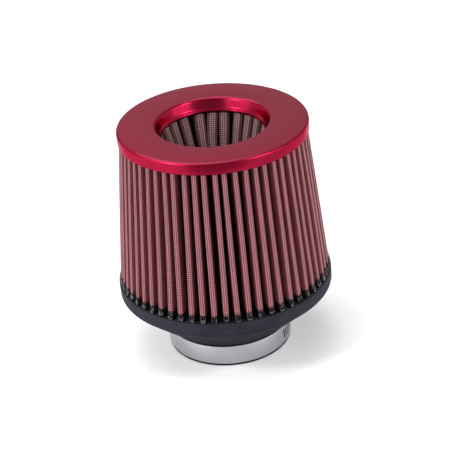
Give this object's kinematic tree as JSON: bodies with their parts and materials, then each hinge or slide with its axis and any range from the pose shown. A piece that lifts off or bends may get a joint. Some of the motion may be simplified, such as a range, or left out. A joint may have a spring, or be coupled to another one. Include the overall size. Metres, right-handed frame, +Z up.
{
  "type": "cone air filter",
  "caption": "Tapered round engine air filter with a pleated mesh-covered wall, a pleated reverse-cone well, a red metal top ring, a black rubber base and a neck with a hose clamp.",
  "frame": {"origin": "centre of the neck's lower end, on the filter's axis", "axes": "+Z up the axis towards the metal top ring; the clamp's screw is on the +Y side, and the picture looks along +Y"},
  "size_m": [0.15, 0.15, 0.1685],
  "materials": {
    "black_rubber": "matte moulded",
    "pleated_gauze": "cotton gauze under a fine wire mesh",
    "red_anodised": "red anodised, satin top and bright edge",
    "stainless": "brushed",
    "zinc_steel": "bright plated"
  },
  "bodies": {
    "filter": {"base": "black_rubber", "outer_pleats": "pleated_gauze", "inner_pleats": "pleated_gauze", "inner_plug": "black_rubber", "top_ring": "black_rubber", "top_cap": "red_anodised", "clamp_band": "stainless", "clamp_housing": "stainless"},
    "clamp_screw": {"clamp_screw": "zinc_steel"}
  },
  "joints": [
    {"name": "clamp_screw_turn", "type": "hinge", "parent": "filter", "child": "clamp_screw", "pos_m": [0, 0.0484, 0.00865], "axis": [1, 0, 0], "range_deg": [-1950, 780]}
  ]
}
